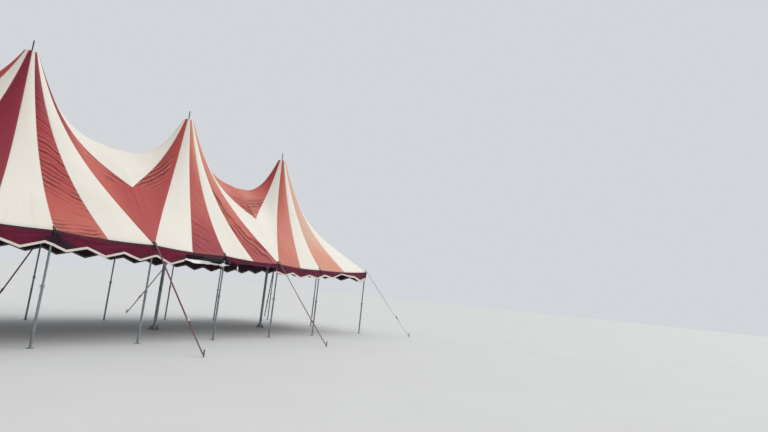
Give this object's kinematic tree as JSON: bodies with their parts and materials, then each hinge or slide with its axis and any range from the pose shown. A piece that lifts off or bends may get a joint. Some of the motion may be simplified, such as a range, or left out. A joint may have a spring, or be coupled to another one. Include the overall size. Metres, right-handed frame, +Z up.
{
  "type": "circus big top tent",
  "caption": "Long open-sided circus tent: a row of tall peaks on king poles, striped cover, zigzag valance and guyed eave posts.",
  "frame": {"origin": "on the ground at the centre of the row", "axes": "+X along the row of peaks to the right seen from the front, +Y to the back, +Z up"},
  "size_m": [25.463, 10.14, 7.41],
  "materials": {
    "cover_fabric": "satin coated tent fabric, cream panels sewn in turn with dark red ones",
    "valance_fabric": "satin coated fabric, maroon with a cream binding along the zigzag edge",
    "king_pole_metal": "satin, dull grey tube",
    "ring_metal": "matte, weathered pale grey",
    "post_metal": "satin, scuffed grey tube with a dark tip",
    "guy_webbing": "matte woven webbing, dark maroon, with steel ratchet and stake"
  },
  "bodies": {
    "root": {"cover_bay_1": "cover_fabric", "cover_bay_2": "cover_fabric", "cover_bay_3": "cover_fabric", "cover_bay_4": "cover_fabric", "king_pole_1": "king_pole_metal", "king_pole_2": "king_pole_metal", "king_pole_3": "king_pole_metal", "king_pole_4": "king_pole_metal", "peak_ring_1": "ring_metal", "peak_ring_2": "ring_metal", "peak_ring_3": "ring_metal", "peak_ring_4": "ring_metal", "eave_post_front_1": "post_metal", "eave_post_front_2": "post_metal", "eave_post_front_3": "post_metal", "eave_post_front_4": "post_metal", "eave_post_front_5": "post_metal", "eave_post_front_6": "post_metal", "eave_post_front_7": "post_metal", "eave_post_front_8": "post_metal", "eave_post_front_9": "post_metal", "eave_post_back_1": "post_metal", "eave_post_back_2": "post_metal", "eave_post_back_3": "post_metal", "eave_post_back_4": "post_metal", "eave_post_back_5": "post_metal", "eave_post_back_6": "post_metal", "eave_post_back_7": "post_metal", "eave_post_back_8": "post_metal", "eave_post_back_9": "post_metal", "eave_post_left_end": "post_metal", "eave_post_right_end": "post_metal", "guy_front_1": "guy_webbing", "guy_front_2": "guy_webbing", "guy_front_3": "guy_webbing", "guy_front_4": "guy_webbing", "guy_front_5": "guy_webbing", "guy_back_1": "guy_webbing", "guy_back_2": "guy_webbing", "guy_back_3": "guy_webbing", "guy_back_4": "guy_webbing", "guy_back_5": "guy_webbing", "valance_front": "valance_fabric", "valance_back": "valance_fabric", "valance_left": "valance_fabric", "valance_right": "valance_fabric"}
  },
  "joints": []
}
